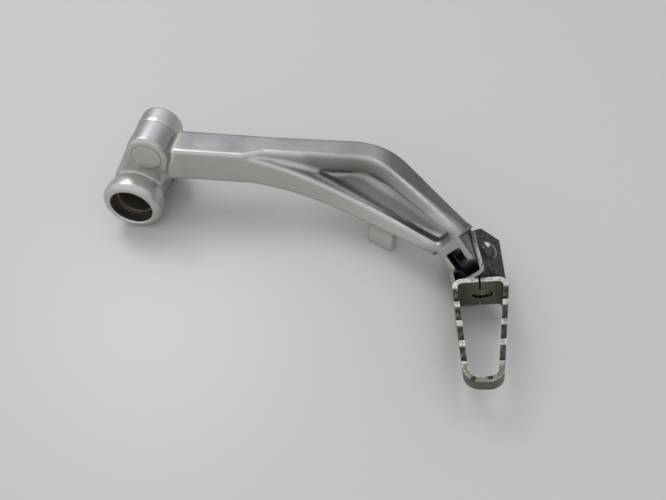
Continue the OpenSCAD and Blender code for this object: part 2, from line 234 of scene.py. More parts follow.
class ToeSettings(bpy.types.PropertyGroup):
    """Sizes and colours of the folding toe piece and its spring."""
    edge: bpy.props.FloatProperty(
        name="Sheet edge round", description="Round on the sheared edges of the sheet",
        default=0.0003, min=0.0001, max=0.0008, precision=5, unit="LENGTH")
    steel: bpy.props.FloatVectorProperty(
        name="Dark steel", description="Dark plated yoke",
        default=(0.034, 0.030, 0.026), subtype="COLOR", size=3, min=0, max=1)
    plating: bpy.props.FloatVectorProperty(
        name="Loop plating", description="Olive plating of the loop",
        default=(0.18, 0.172, 0.125), subtype="COLOR", size=3, min=0, max=1)
    worn: bpy.props.FloatVectorProperty(
        name="Worn steel", description="Bare steel on the rubbed edges",
        default=(0.60, 0.585, 0.55), subtype="COLOR", size=3, min=0, max=1)
    wire: bpy.props.FloatVectorProperty(
        name="Spring wire", description="Blackened wire",
        default=(0.045, 0.045, 0.05), subtype="COLOR", size=3, min=0, max=1)


class StageSettings(bpy.types.PropertyGroup):
    """Camera, table and light."""
    camera_place: bpy.props.FloatVectorProperty(
        name="Camera place", description="Where the camera stands",
        default=(0.1379, -0.2188, 0.2118), subtype="TRANSLATION", size=3, unit="LENGTH")
    camera_turn: bpy.props.FloatVectorProperty(
        name="Camera turn", description="Tilt, roll and turn of the camera",
        default=(math.radians(40), 0.0, math.radians(5)), subtype="EULER", size=3, unit="ROTATION")
    focal_px: bpy.props.FloatProperty(
        name="Focal length in pixels", description="Focal length, in pixels of the photograph",
        default=500.0, min=100.0)
    floor: bpy.props.FloatVectorProperty(
        name="Table", description="Pale grey table",
        default=(0.58, 0.565, 0.54), subtype="COLOR", size=3, min=0, max=1)
    world: bpy.props.FloatProperty(
        name="Room light", description="Strength of the room's light, at its brightest", default=0.9, min=0)
    window: bpy.props.FloatProperty(
        name="Window light", description="Power of the large soft window, in watts", default=4.6, min=0)


SETTINGS = {"casting": CastingSettings, "toe": ToeSettings, "stage": StageSettings}


def settings(name):
    return getattr(bpy.context.scene, "pedal_" + name)


# Node helpers

def node(tree, kind, **values):
    made = tree.nodes.new(kind)
    for key, value in values.items():
        setattr(made, key, value)
    return made


def maths(tree, operation, a, b=None, clamp=False):
    made = node(tree, "ShaderNodeMath", operation=operation, use_clamp=clamp)
    for socket, value in zip(made.inputs, (a, b)):
        if value is None:
            continue
        if isinstance(value, (int, float)):
            socket.default_value = value
        else:
            tree.links.new(value, socket)
    return made.outputs[0]


def product(tree, *factors):
    """The factors multiplied together."""
    value = factors[0]
    for factor in factors[1:]:
        value = maths(tree, "MULTIPLY", value, factor)
    return value


def ramp(tree, value, low, high, to_low=0.0, to_high=1.0):
    """Goes smoothly from one number to another while the value goes from low to high."""
    made = node(tree, "ShaderNodeMapRange", interpolation_type="SMOOTHSTEP")
    tree.links.new(value, made.inputs["Value"])
    made.inputs["From Min"].default_value = low
    made.inputs["From Max"].default_value = high
    made.inputs["To Min"].default_value = to_low
    made.inputs["To Max"].default_value = to_high
    return made.outputs["Result"]


def fade(tree, value, low, high):
    """1 up to low and 0 from high."""
    return ramp(tree, value, low, high, 1.0, 0.0)


def band(tree, value, middle, half):
    """1 at the middle, 0 from half away."""
    off = maths(tree, "ABSOLUTE", maths(tree, "SUBTRACT", value, middle))
    return fade(tree, off, 0.0, half)


def blend_colour(tree, factor, a, b, mode="MIX"):
    made = node(tree, "ShaderNodeMix", data_type="RGBA", blend_type=mode)
    for socket, value in zip((made.inputs[0], made.inputs[6], made.inputs[7]), (factor, a, b)):
        if isinstance(value, (int, float)):
            socket.default_value = value
        elif isinstance(value, bpy.types.NodeSocket):
            tree.links.new(value, socket)
        else:
            socket.default_value = (*value, 1.0)
    return made.outputs[2]


def noise_field(tree, point, scale, detail=3.0, roughness=0.5):
    made = node(tree, "ShaderNodeTexNoise")
    tree.links.new(point, made.inputs["Vector"])
    if isinstance(scale, (int, float)):
        made.inputs["Scale"].default_value = scale
    else:
        tree.links.new(scale, made.inputs["Scale"])
    made.inputs["Detail"].default_value = detail
    made.inputs["Roughness"].default_value = roughness
    return made.outputs["Fac"]


def surface_point(tree):
    return node(tree, "ShaderNodeTexCoord").outputs["Object"]


def attribute(tree, name):
    return node(tree, "ShaderNodeAttribute", attribute_name=name).outputs["Fac"]


def placed(tree, at=(0.0, 0.0, 0.0), turn=(0.0, 0.0, 0.0)):
    """The surface point in a frame of its own, as a vector and its three parts."""
    mapping = node(tree, "ShaderNodeMapping", vector_type="TEXTURE")
    tree.links.new(surface_point(tree), mapping.inputs["Vector"])
    mapping.inputs["Location"].default_value = at
    mapping.inputs["Rotation"].default_value = turn
    split = node(tree, "ShaderNodeSeparateXYZ")
    tree.links.new(mapping.outputs[0], split.inputs[0])
    return mapping.outputs[0], split.outputs["X"], split.outputs["Y"], split.outputs["Z"]


def distance_of(tree, a, b):
    """Distance of the point a, b from 0, 0."""
    squares = maths(tree, "ADD", maths(tree, "MULTIPLY", a, a), maths(tree, "MULTIPLY", b, b))
    return maths(tree, "SQRT", squares)


def distance_to(tree, point, spot):
    made = node(tree, "ShaderNodeVectorMath", operation="DISTANCE")
    tree.links.new(point, made.inputs[0])
    made.inputs[1].default_value = spot
    return made.outputs["Value"]


def facing(tree, direction, low, high):
    """Mask of the faces that look along a direction of the part."""
    made = node(tree, "ShaderNodeVectorMath", operation="DOT_PRODUCT")
    tree.links.new(node(tree, "ShaderNodeTexCoord").outputs["Normal"], made.inputs[0])
    made.inputs[1].default_value = direction
    return ramp(tree, made.outputs["Value"], low, high)


def recolour(tree, shader, factor, colour, mode="MIX"):
    """Lays a colour over the shader's base colour."""
    old = shader.inputs["Base Color"].links[0].from_socket
    tree.links.new(blend_colour(tree, factor, old, colour, mode), shader.inputs["Base Color"])


def add_bump(tree, shader, height, distance):
    bump = node(tree, "ShaderNodeBump")
    bump.inputs["Distance"].default_value = distance
    bump.inputs["Strength"].default_value = 1.0
    tree.links.new(height, bump.inputs["Height"])
    tree.links.new(bump.outputs["Normal"], shader.inputs["Normal"])


# Effects that several materials use

def new_group(name, inputs, outputs):
    group = bpy.data.node_groups.new(name, "ShaderNodeTree")
    for label, value in inputs.items():
        socket = group.interface.new_socket(name=label, in_out="INPUT", socket_type="NodeSocketFloat")
        socket.default_value = value
    for label in outputs:
        group.interface.new_socket(name=label, in_out="OUTPUT", socket_type="NodeSocketFloat")
    return group, node(group, "NodeGroupInput"), node(group, "NodeGroupOutput")


def edge_wear_group():
    """Mask of rubbed edges: where the rounded normal leaves the flat one, broken up by noise."""
    name = "edge wear"
    if name in bpy.data.node_groups:
        return bpy.data.node_groups[name]
    group, given, out = new_group(name, {"Radius": 0.0006, "Amount": 1.0, "Scale": 300.0}, ["Mask"])
    bevel = node(group, "ShaderNodeBevel", samples=6)
    group.links.new(given.outputs["Radius"], bevel.inputs["Radius"])
    geometry = node(group, "ShaderNodeNewGeometry")
    dot = node(group, "ShaderNodeVectorMath", operation="DOT_PRODUCT")
    group.links.new(bevel.outputs[0], dot.inputs[0])
    group.links.new(geometry.outputs["Normal"], dot.inputs[1])
    bent = ramp(group, maths(group, "SUBTRACT", 1.0, dot.outputs["Value"]), 0.01, 0.12)
    patch = ramp(group, noise_field(group, surface_point(group), given.outputs["Scale"]), 0.32, 0.62)
    rubbed = product(group, bent, patch)
    mask = maths(group, "MULTIPLY", rubbed, given.outputs["Amount"], clamp=True)
    group.links.new(mask, out.inputs["Mask"])
    return group


def cast_grain_group():
    """Fine grain as height, and slow patches of shade."""
    name = "cast grain"
    if name in bpy.data.node_groups:
        return bpy.data.node_groups[name]
    group, given, out = new_group(name, {"Grain": 1800.0, "Patch": 45.0}, ["Height", "Shade"])
    point = surface_point(group)
    fine = noise_field(group, point, given.outputs["Grain"], 4.0, 0.65)
    slow = noise_field(group, point, given.outputs["Patch"], 4.0, 0.6)
    group.links.new(maths(group, "ADD", fine, product(group, slow, 0.6)), out.inputs["Height"])
    group.links.new(slow, out.inputs["Shade"])
    return group


def hollow_shade_group():
    """Mask of painted shade in the hollows, where light and cloth reach little, broken up by noise."""
    name = "settled dust"
    if name in bpy.data.node_groups:
        return bpy.data.node_groups[name]
    group, given, out = new_group(name, {"Reach": 0.012, "Scale": 160.0}, ["Mask"])
    hollow = node(group, "ShaderNodeAmbientOcclusion", samples=8, only_local=True)
    group.links.new(given.outputs["Reach"], hollow.inputs["Distance"])
    deep = fade(group, hollow.outputs["AO"], 0.58, 0.95)
    noise = noise_field(group, surface_point(group), given.outputs["Scale"])
    uneven = ramp(group, noise, 0.2, 0.8, 0.75, 1.0)
    group.links.new(maths(group, "MULTIPLY", deep, uneven, clamp=True), out.inputs["Mask"])
    return group


def placed_group(tree, group, **values):
    made = node(tree, "ShaderNodeGroup", node_tree=group)
    for label, value in values.items():
        made.inputs[label.capitalize()].default_value = value
    return made


def lay_hollow_shade(tree, shader, reach, share, colour):
    """Painted shade in the hollows that are narrower than the reach."""
    shade_mask = placed_group(tree, hollow_shade_group(), reach=reach)
    recolour(tree, shader, product(tree, shade_mask.outputs["Mask"], share), colour)


def new_material(name):
    material = bpy.data.materials.new(name)
    material.use_nodes = True
    tree = material.node_tree
    return material, tree, tree.nodes["Principled BSDF"]


def metal_material(name, colour, worn, radius, amount, metallic, rough, grain, bump):
    """Metal with grain, patches of shade and rubbed edges. rough is a pair: dull and rubbed."""
    material, tree, shader = new_material(name)
    grained = placed_group(tree, cast_grain_group(), grain=grain)
    wear = placed_group(tree, edge_wear_group(), radius=radius, amount=amount)
    darker = [0.86 * part for part in colour]
    lighter = [min(1.0, 1.08 * part) for part in colour]
    base = blend_colour(tree, ramp(tree, grained.outputs["Shade"], 0.3, 0.7), darker, lighter)
    tree.links.new(blend_colour(tree, wear.outputs["Mask"], base, worn), shader.inputs["Base Color"])
    shader.inputs["Metallic"].default_value = metallic
    dull, bright = rough
    spread = ramp(tree, grained.outputs["Shade"], 0.2, 0.8, dull - 0.05, dull + 0.06)
    mixed = node(tree, "ShaderNodeMix", data_type="FLOAT")
    tree.links.new(wear.outputs["Mask"], mixed.inputs[0])
    tree.links.new(spread, mixed.inputs[2])
    mixed.inputs[3].default_value = bright
    tree.links.new(mixed.outputs[0], shader.inputs["Roughness"])
    add_bump(tree, shader, grained.outputs["Height"], bump)
    return material, tree, shader


# Finish of the casting, each mark over the ones before it

def cast_material():
    given = settings("casting")
    material, tree, shader = metal_material(
        "silver lacquer casting", given.colour, given.rubbed, radius=0.0012, amount=0.6,
        metallic=0.93, rough=(0.31, 0.22), grain=2200.0, bump=0.00003)
    # Rubbed edges and a painted highlight along the sharp edges
    recolour(tree, shader, product(tree, attribute(tree, "edge wear and highlight"), 0.5), given.rubbed)
    for mark in (mark_front_light, mark_hollow_shade, mark_pocket, mark_fillet_highlight, mark_fork,
                 mark_beam_top_shade, mark_lug, mark_boss, mark_collar_light):
        mark(tree, shader)
    mark_bore(tree, shader, given)
    return material


def mark_front_light(tree, shader):
    """Painted light: lighter, warmer colour on the faces that look away from the machine."""
    fronts = facing(tree, OUTWARD_AND_UP, 0.35, 0.8)
    recolour(tree, shader, product(tree, fronts, 0.75), FRONT_PAINTED_LIGHT)


def mark_hollow_shade(tree, shader):
    """Painted shade in the hollows, little on the hub and more along the arm."""
    _, x, _, _ = placed(tree)
    share = ramp(tree, x, NECK_END, NECK_END + 0.03, 0.1, 0.35)
    lay_hollow_shade(tree, shader, 0.022, share, CASTING_HOLLOW_SHADE)


def mark_pocket(tree, shader):
    """Painted shade on the pocket's floor, painted light in the channel beside it, both dull, and painted
    shade on the outer slope.
    """
    floor = attribute(tree, "pocket floor")
    recolour(tree, shader, maths(tree, "MULTIPLY", floor, 0.88, clamp=True), POCKET_SHADE)
    recolour(tree, shader, maths(tree, "MULTIPLY", floor, -0.9, clamp=True), CHANNEL_PAINTED_LIGHT)
    roughness = shader.inputs["Roughness"].links[0].from_socket
    dulled = product(tree, maths(tree, "ABSOLUTE", floor), 0.25)
    tree.links.new(maths(tree, "ADD", roughness, dulled), shader.inputs["Roughness"])
    slope = product(tree, attribute(tree, "outer slope"), 0.95)
    recolour(tree, shader, slope, SLOPE_PAINTED_SHADE, "MULTIPLY")


def mark_fillet_highlight(tree, shader):
    """Painted highlight on the fillet round the boss, on the beam's side."""
    _, x, y, z = placed(tree, BOSS_AT)
    ring = band(tree, distance_of(tree, x, z), BOSS_R + 0.0012, 0.0013)
    side = product(tree, ramp(tree, x, 0.5 * BOSS_R, 0.75 * BOSS_R),
                   ramp(tree, y, BOSS_FRONT + 0.0015, BOSS_FRONT + 0.0055))
    recolour(tree, shader, product(tree, ring, side, 0.6), FILLET_HIGHLIGHT)


def mark_fork(tree, shader):
    """Painted shade on the prongs' faces that the yoke covers, a darker fork and painted shade in its slot.
    """
    _, x, _, z = placed(tree, PIN, FORK.to_euler())
    off_middle = maths(tree, "ABSOLUTE", z)
    covered = product(tree, ramp(tree, off_middle, PRONG_FACE, PRONG_FACE + 0.0005),
                      ramp(tree, x, PRONG_START, PRONG_START + 0.002))
    recolour(tree, shader, product(tree, covered, 0.6), PRONG_SHADE)
    forked = ramp(tree, x, FORK_START, FORK_START + 0.007)
    recolour(tree, shader, product(tree, forked, 0.8), FORK_TINT, "MULTIPLY")
    slot = product(tree, fade(tree, off_middle, SLOT_HALF + 0.0001, SLOT_HALF + 0.0004),
                   ramp(tree, x, SLOT_ROOT - 0.0002, SLOT_ROOT))
    recolour(tree, shader, product(tree, slot, 0.9), SLOT_SHADE)


def mark_beam_top_shade(tree, shader):
    """Painted shade: darker, cooler colour on the beam's upper face."""
    _, x, _, _ = placed(tree)
    part = product(tree, ramp(tree, x, BEAM_START, BEAM_START + 0.008),
                   fade(tree, x, BEAM_END - 0.025, BEAM_END))
    recolour(tree, shader, product(tree, part, facing(tree, UP, 0.88, 0.97)), BEAM_TOP_SHADE, "MULTIPLY")


def mark_lug(tree, shader):
    """Lighter colour on the rest lug under the lower branch."""
    _, x, _, z = placed(tree)
    part = product(tree, ramp(tree, x, LUG_START, LUG_START + 0.005),
                   fade(tree, x, LUG_END - 0.004, LUG_END), fade(tree, z, LUG_TOP - 0.0035, LUG_TOP))
    recolour(tree, shader, product(tree, part, 0.7), LUG_LIGHTER)


def mark_boss(tree, shader):
    """Painted highlight on the boss's crown, and dark lines round its pad and its barrel."""
    _, x, y, z = placed(tree, BOSS_AT)
    reach = distance_of(tree, x, z)
    barrel = fade(tree, reach, BOSS_R + 0.0008, BOSS_R + 0.0014)
    behind_pad = ramp(tree, y, BOSS_FRONT + 0.0015, BOSS_FRONT + 0.0055)
    crown = product(tree, band(tree, x, CROWN_X, CROWN_HALF), behind_pad, barrel)
    recolour(tree, shader, product(tree, crown, facing(tree, UP, 0.3, 0.9), 0.75), CROWN_HIGHLIGHT)
    front = fade(tree, y, BOSS_FRONT + 0.0003, BOSS_FRONT + 0.0012)
    pad_line = product(tree, band(tree, reach, PAD_R + 0.0003, 0.0005), front)
    ring_line = product(tree, band(tree, y, RING_Y, 0.0004), barrel)
    lines = maths(tree, "MAXIMUM", pad_line, ring_line)
    recolour(tree, shader, product(tree, lines, 0.7), DARK_LINES)


def mark_collar_light(tree, shader):
    """Painted light on the near collar."""
    _, x, y, _ = placed(tree)
    collar = product(tree, fade(tree, y, COLLAR_BACK - 0.003, COLLAR_BACK + 0.001),
                     fade(tree, x, COLLAR_R - 0.008, COLLAR_R - 0.002))
    recolour(tree, shader, product(tree, collar, 0.8), COLLAR_PAINTED_LIGHT)


def mark_bore(tree, shader, given):
    """Old grease in the hub's mouth, with a lighter ledge inside and a lighter rim."""
    _, x, y, z = placed(tree, (0.0, 0.0, HUB_AXIS_Z))
    reach = distance_of(tree, x, z)
    greasy = fade(tree, reach, BORE_R - 0.0004, BORE_R + 0.0002)
    recolour(tree, shader, greasy, given.bore)
    recolour(tree, shader, product(tree, greasy, facing(tree, OUTWARD, 0.5, 0.8), 0.6), given.rubbed)
    rim = product(tree, band(tree, reach, BORE_R + 0.0001, 0.0007),
                  fade(tree, y, HUB_FRONT + 0.0009, HUB_FRONT + 0.0016))
    recolour(tree, shader, product(tree, rim, 0.8), given.rubbed)


# Finishes of the other pieces

def steel_material():
    """Dark plating with scuffs, bright where the yoke's sheet was cut."""
    given = settings("toe")
    material, tree, shader = metal_material(
        "dark plated steel", given.steel, given.worn, radius=0.0007, amount=1.0,
        metallic=0.85, rough=(0.36, 0.25), grain=1500.0, bump=0.00003)
    noise = noise_field(tree, surface_point(tree), 560.0, 5.0, 0.7)
    recolour(tree, shader, ramp(tree, noise, 0.50, 0.72, 0.0, 0.3), given.worn)
    recolour(tree, shader, product(tree, facing(tree, YOKE_CUT, 0.62, 0.8), 0.75), given.worn)
    # Painted shade in the hollows
    lay_hollow_shade(tree, shader, 0.006, 0.5, STEEL_HOLLOW_SHADE)
    return material


def rivet_material():
    """Dark polished head with a painted highlight spot and painted shade at its rim."""
    given = settings("toe")
    material, tree, shader = metal_material(
        "rivet head with painted highlight", [0.9 * part for part in given.steel], given.worn,
        radius=0.0002, amount=0.2, metallic=0.9, rough=(0.30, 0.24), grain=900.0, bump=0.00003)
    _, x, y, _ = placed(tree, PIN, (0.0, PIN_TILT, 0.0))
    across = maths(tree, "SUBTRACT", x, HIGHLIGHT_SPOT_AT[0])
    along = product(tree, maths(tree, "SUBTRACT", y, HIGHLIGHT_SPOT_AT[1]), HIGHLIGHT_SPOT_SQUEEZE)
    # Painted highlight spot on the dome
    recolour(tree, shader, fade(tree, distance_of(tree, across, along), 0.0006, 0.0014), RIVET_HIGHLIGHT)
    rim = ramp(tree, distance_of(tree, x, y), RIVET_R - 0.0006, RIVET_R)
    # Painted shade at the dome's rim
    recolour(tree, shader, rim, RIVET_RIM_SHADE)
    shader.inputs["Coat Weight"].default_value = 1.0
    shader.inputs["Coat Roughness"].default_value = RIVET_COAT_ROUGHNESS
    return material


def weld_material():
    return metal_material(
        "weld metal", WELD_METAL, settings("toe").worn, radius=0.0005, amount=0.8,
        metallic=0.85, rough=(0.3, 0.24), grain=600.0, bump=0.00018)[0]


def plating_material():
    """Olive plating with darker dishes, worn crests, a stained tip, dark spots, a seam and painted shade in
    the hollows.
    """
    given = settings("toe")
    material, tree, shader = metal_material(
        "olive plated steel", given.plating, given.worn, radius=0.0009, amount=1.3,
        metallic=0.75, rough=(0.40, 0.26), grain=1300.0, bump=0.00004)
    point, x, y, height = placed(tree, LOOP_AT, (0.0, -LOOP_LEAN, 0.0))
    mark_scallops(tree, shader, given, point, y, height)
    mark_tip(tree, shader, point, y)
    mark_seam(tree, shader, x, y)
    # Painted shade in the hollows
    lay_hollow_shade(tree, shader, 0.006, 0.5, LOOP_HOLLOW_SHADE)
    return material


def mark_scallops(tree, shader, given, point, y, height):
    """Darker dishes in the loop's top edge and bare steel on the crests between them."""
    upward = facing(tree, LOOP_UP, 0.35, 0.7)
    dished = fade(tree, height, -0.0009, -0.0004)
    dish_patches = ramp(tree, noise_field(tree, point, 420.0, 4.0, 0.6), 0.35, 0.6, 0.55, 1.0)
    recolour(tree, shader, product(tree, dished, upward, dish_patches), DISH_DARK)
    crest = ramp(tree, height, -0.0005, -0.00015)
    patch = ramp(tree, noise_field(tree, point, 380.0, 4.0, 0.65), 0.36, 0.60, 0.15, 0.85)
    less_at_tip = ramp(tree, y, LOOP_TIP, LOOP_TIP + 0.004, 0.3, 1.0)
    recolour(tree, shader, product(tree, crest, upward, patch, less_at_tip), given.worn)


def mark_tip(tree, shader, point, y):
    """Stains and a few dark spots at the loop's far end."""
    near_tip = fade(tree, y, LOOP_TIP, LOOP_TIP + 0.006)
    speckled = ramp(tree, noise_field(tree, point, 1100.0, 5.0, 0.7), 0.34, 0.66)
    recolour(tree, shader, product(tree, near_tip, speckled), TIP_TINT, "MULTIPLY")
    first, second, third = [
        band(tree, distance_to(tree, point, (across, along, 0.0)), 0.0, SPOT_R)
        for across, along in DARK_SPOTS]
    spot = maths(tree, "MAXIMUM", maths(tree, "MAXIMUM", first, second), third)
    recolour(tree, shader, ramp(tree, spot, 0.15, 0.4), SPOT_DIRT)


def mark_seam(tree, shader, x, y):
    """Dark seam where the strip's ends meet."""
    line = fade(tree, maths(tree, "ABSOLUTE", x), 0.6 * SEAM_HALF, SEAM_HALF)
    recolour(tree, shader, product(tree, line, ramp(tree, y, SEAM_ROOT, SEAM_ROOT + 0.0005)), SEAM_DIRT)


def wire_material():
    return metal_material(
        "black spring wire", settings("toe").wire, WORN_WIRE, radius=0.0002, amount=0.4,
        metallic=0.6, rough=(0.27, 0.2), grain=2500.0, bump=0.00001)[0]


def bush_material():
    return metal_material(
        "greasy bush", BUSH_METAL, BUSH_WORN, radius=0.0008, amount=1.6,
        metallic=0.7, rough=(0.35, 0.25), grain=1500.0, bump=0.00002)[0]


# Mesh helpers

def baked_mesh(obj, name):
    """The object's mesh with its modifiers applied."""
    graph = bpy.context.evaluated_depsgraph_get()
    mesh = bpy.data.meshes.new_from_object(obj.evaluated_get(graph))
    mesh.name = name
    return mesh


def dress_node(name, material, edge=None):
    """Gives a CAD node its finish and, where asked, a small round on its edges."""
    obj = frame["nodes"][name]
    for slot in obj.material_slots:
        slot.link = "OBJECT"
        slot.material = material
    if edge:
        weld = obj.modifiers.new("Join seams", "WELD")
        weld.merge_threshold = 1e-6
        bevel = obj.modifiers.new("Edge round", "BEVEL")
        bevel.width = edge
        bevel.segments = 2
        bevel.limit_method = "ANGLE"
        bevel.angle_limit = math.radians(35)
        bevel.harden_normals = True
    return obj


def vertex_values(mesh, name):
    """The place ("co") or the normal of every vertex, one row each."""
    values = np.empty(3 * len(mesh.vertices))
    mesh.vertices.foreach_get(name, values)
    return values.reshape(-1, 3)


def rise(values, start, width):
    """0 up to start and 1 from width beyond it."""
    return np.clip((values - start) / width, 0.0, 1.0)


def fall(values, end, width):
    """1 up to width before the end and 0 from the end."""
    return np.clip((end - values) / width, 0.0, 1.0)


def left_of(place, start, end):
    """Distance to the left of the line from start to end, seen from above."""
    (ax, ay), (bx, by) = start, end
    side = (bx - ax) * (place[:, 1] - ay) - (by - ay) * (place[:, 0] - ax)
    return side / math.hypot(bx - ax, by - ay)


def in_fork(place):
    """The places in the fork's frame: the pin along Z, the prongs' tips towards X."""
    turn = np.array(FORK.inverted())
    return place @ turn[:3, :3].T + turn[:3, 3]


def inside_pocket(place):
    """Distance inside the outline of the pocket's floor, seen from above."""
    sides = [left_of(place, start, end) for start, end in zip(POCKET, POCKET[1:] + POCKET[:1])]
    return np.min(sides, axis=0)


def neighbour_mean(mesh):
    """A function that gives the mean of a value over each vertex's neighbours."""
    count = len(mesh.vertices)
    edges = np.empty(2 * len(mesh.edges), dtype=np.int32)
    mesh.edges.foreach_get("vertices", edges)
    edges = edges.reshape(-1, 2)
    degree = np.maximum(1, np.bincount(edges.ravel(), minlength=count))

    def mean(values):
        total = np.bincount(edges[:, 0], values[edges[:, 1]], count)
        total += np.bincount(edges[:, 1], values[edges[:, 0]], count)
        return total / degree

    return mean


def hollowness(mesh, mean):
    """How hollow (above 0) or sharp (below 0) the skin is at each vertex, in metres."""
    place = vertex_values(mesh, "co")
    middle = np.stack([mean(place[:, axis]) for axis in range(3)], axis=1)
    value = ((middle - place) * vertex_values(mesh, "normal")).sum(axis=1)
    for _ in range(3):
        value = mean(value)
    return value


# Where the casting's skin is filled, rounded and marked: one weight for each vertex

def crisp(place):
    """True at the machined places, which keep their edges: hub's mouths, pin's bore and boss pad."""
    hub = np.hypot(place[:, 0], place[:, 2] - HUB_AXIS_Z)
    pin = in_fork(place)
    boss = np.hypot(place[:, 0] - BOSS_AT[0], place[:, 2] - BOSS_AT[2])
    pad = (boss < PAD_R + 0.0015) & (place[:, 1] < BOSS_FRONT + 0.001)
    return (hub < BORE_R + 0.0006) | (np.hypot(pin[:, 0], pin[:, 1]) < PIN_R) | pad


def soft_weights(mesh):
    """All of the skin, and the machined places less."""
    return np.where(crisp(vertex_values(mesh, "co")), 0.45, 1.0)


def joined_weights(mesh):
    """The bands where the branches run into the fork."""
    place = vertex_values(mesh, "co")
    along = in_fork(place)[:, 0]
    near = rise(along, JOIN_START, 0.003) * fall(along, JOIN_END, 0.0015)
    return np.where(place[:, 0] > FORK_SIDE, near, 0.0)


def collar_weights(mesh):
    """The band where the near collar runs into the neck."""
    place = vertex_values(mesh, "co")
    hub = np.hypot(place[:, 0], place[:, 2] - HUB_AXIS_Z)
    near = fall(np.abs(place[:, 1] - COLLAR_BACK), 0.007, 0.003)
    return near * ((hub > BORE_R + 0.0015) & (hub < COLLAR_R))


def hollow_weights(mesh):
    """The hollow corners, which have fillets, and their neighbours."""
    mean = neighbour_mean(mesh)
    weight = rise(hollowness(mesh, mean), 0.00002, 0.00004)
    for _ in range(4):
        weight = np.maximum(weight, np.clip(1.4 * mean(weight), 0.0, 1.0))
    return np.where(crisp(vertex_values(mesh, "co")), 0.0, weight)


def pocket_weights(mesh):
    """The corners of the pocket between the branches, which have the widest fillets."""
    place = vertex_values(mesh, "co")
    near = (place[:, 0] > POCKET_START_X) & (place[:, 2] > WEB_UNDERSIDE)
    near &= in_fork(place)[:, 0] < PRONG_START
    not_below = vertex_values(mesh, "normal")[:, 2] > -0.2
    floor = rise(inside_pocket(place), -0.0015, 0.001) * (place[:, 2] < FLOOR_TOP)
    return np.where(near & not_below, np.maximum(hollow_weights(mesh), floor), 0.0)


def edge_wear_and_highlight_weights(mesh):
    """Where the casting is rubbed and a highlight is painted: along its sharp edges."""
    sharp = rise(-hollowness(mesh, neighbour_mean(mesh)), 0.000022, 0.000035)
    return sharp * (1.0 - joined_weights(mesh)) * (1.0 - collar_weights(mesh))


def floor_weights(mesh):
    """Painted shade above 0 on the pocket's floor and wall, painted light below 0 in the channel beside the
    lower branch.
    """
    place = vertex_values(mesh, "co")
    normal = vertex_values(mesh, "normal")
    side = left_of(place, POCKET_ROOT, POCKET_END)
    channel = CHANNEL_WIDTH * fall(place[:, 0], CHANNEL_END, 0.05)
    weight = rise(inside_pocket(place), -0.0006, 0.0012) * (place[:, 2] < POCKET_TOP)
    weight *= 2.0 * np.clip((side - channel) / 0.0012, -0.5, 0.5)
    weight *= np.where(side > channel, rise(normal[:, 2], 0.5, 0.2), 1.0)
    wall = rise(-normal[:, 1], 0.3, 0.3) * rise(side, 0.0005, 0.0015)
    wall *= rise(place[:, 0], WALL_START, 0.012) * fall(place[:, 0], WALL_END, 0.004)
    weight = np.where(wall > 0.0, np.maximum(weight, WALL_SHADE * wall), weight)
    mean = neighbour_mean(mesh)
    for _ in range(3):
        weight = mean(weight)
    return weight


def slope_weights(mesh):
    """Where shade is painted: the upper face of the upper branch, from its bend to the fork."""
    place = vertex_values(mesh, "co")
    beyond = left_of(place, POCKET_BEND, POCKET_END)
    upward = rise(vertex_values(mesh, "normal")[:, 2], 0.6, 0.25)
    return rise(place[:, 0], BRANCH_BEND, 0.012) * rise(beyond, 0.002, 0.0015) * upward


# Pieces

class PEDAL_OT_casting(bpy.types.Operator):
    """Rebuilds the cast arm's skin with soft corners and fillets, and gives it its lacquer"""
    bl_idname = "pedal.casting"
    bl_label = "Cast arm"

    def execute(self, context):
        given = settings("casting")
        obj = self.rebuilt_skin(context, given)
        self.smooth_skin(obj, given)
        for name, weights in (
                ("edge wear and highlight", edge_wear_and_highlight_weights), ("pocket floor", floor_weights), ("outer slope", slope_weights)):
            values = weights(obj.data)
            obj.data.attributes.new(name, "FLOAT", "POINT").data.foreach_set("value", values)
        for polygon in obj.data.polygons:
            polygon.use_smooth = True
        obj.data.materials.clear()
        obj.data.materials.append(cast_material())
        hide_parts("pedal_arm")
        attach(obj, "arm")
        return {"FINISHED"}

    def rebuilt_skin(self, context, given):
        """The arm's solid with its points joined, rebuilt on an even grid."""
        mesh = frame["nodes"]["pedal_arm"].data.copy()
        joined = bmesh.new()
        joined.from_mesh(mesh)
        bmesh.ops.remove_doubles(joined, verts=joined.verts, dist=1e-7)
        joined.to_mesh(mesh)
        joined.free()
        obj = bpy.data.objects.new("pedal_casting", mesh)
        context.scene.collection.objects.link(obj)
        skin = obj.modifiers.new("Skin", "REMESH")
        skin.mode = "VOXEL"
        skin.voxel_size = given.voxel
        obj.data = baked_mesh(obj, "pedal_casting")
        obj.modifiers.clear()
        return obj

    def smooth_skin(self, obj, given):
        """Fillets first, the widest of them at the pocket and the collar, then the corners."""
        for label, weights, passes in (
                ("pocket", pocket_weights, 3 * given.fillet),
                ("collar", collar_weights, 4 * given.fillet),
                ("hollow", hollow_weights, given.fillet),
                ("soft", soft_weights, given.soften),
                ("joined", joined_weights, given.fillet)):
            group = obj.vertex_groups.new(name=label)
            share = weights(obj.data)
            for index in np.flatnonzero(share > 0.01):
                group.add([int(index)], float(share[index]), "REPLACE")
            smooth = obj.modifiers.new(label, "SMOOTH")
            smooth.factor = 0.5
            smooth.iterations = passes
            smooth.vertex_group = label
        obj.data = baked_mesh(obj, "pedal_casting")
        obj.modifiers.clear()


class PEDAL_OT_bush(bpy.types.Operator):
    """Gives the pivot bush its greasy finish"""
    bl_idname = "pedal.bush"
    bl_label = "Pivot bush"

    def execute(self, context):
        dress_node("pivot_bush", bush_material(), BUSH_EDGE)
        return {"FINISHED"}


